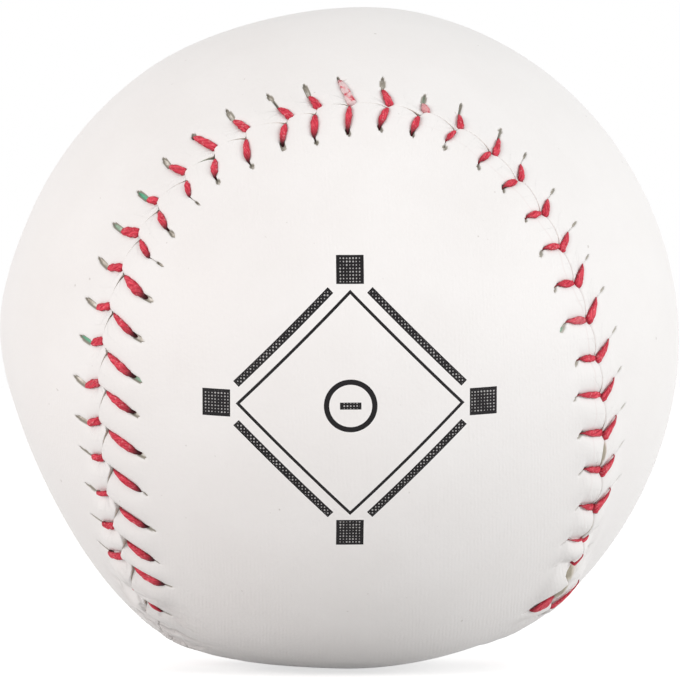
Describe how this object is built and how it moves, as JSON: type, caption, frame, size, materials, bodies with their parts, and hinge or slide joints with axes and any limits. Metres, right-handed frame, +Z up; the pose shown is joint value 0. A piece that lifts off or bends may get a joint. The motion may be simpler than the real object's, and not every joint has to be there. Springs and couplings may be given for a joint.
{
  "type": "softball",
  "caption": "Round wound softball: white synthetic leather cover panels laced with red V stitches over a cement coat, yarn windings and a cork and rubber core.",
  "frame": {"origin": "centre of the ball", "axes": "+Z up as the ball lies, -Y towards the viewer, +X to the viewer's right"},
  "size_m": [0.0808, 0.0808, 0.0816],
  "materials": {
    "core": "moulded cork and rubber, matt and speckled",
    "coarse_yarn": "coarse twisted yarn, wound tight",
    "fine_yarn": "fine pale yarn, wound tight",
    "cement": "thin coat of dried latex cement",
    "backing": "grey-green non-woven cloth",
    "cover": "white synthetic leather with a fine grain, softly satin",
    "thread": "waxed red sewing thread, slightly fuzzy"
  },
  "bodies": {
    "root": {"core": "core", "coarse_winding": "coarse_yarn", "fine_winding": "fine_yarn", "cement_coat": "cement", "front_backing": "backing", "back_backing": "backing", "front_cover": "cover", "back_cover": "cover", "first_thread": "thread", "second_thread": "thread"}
  },
  "joints": []
}
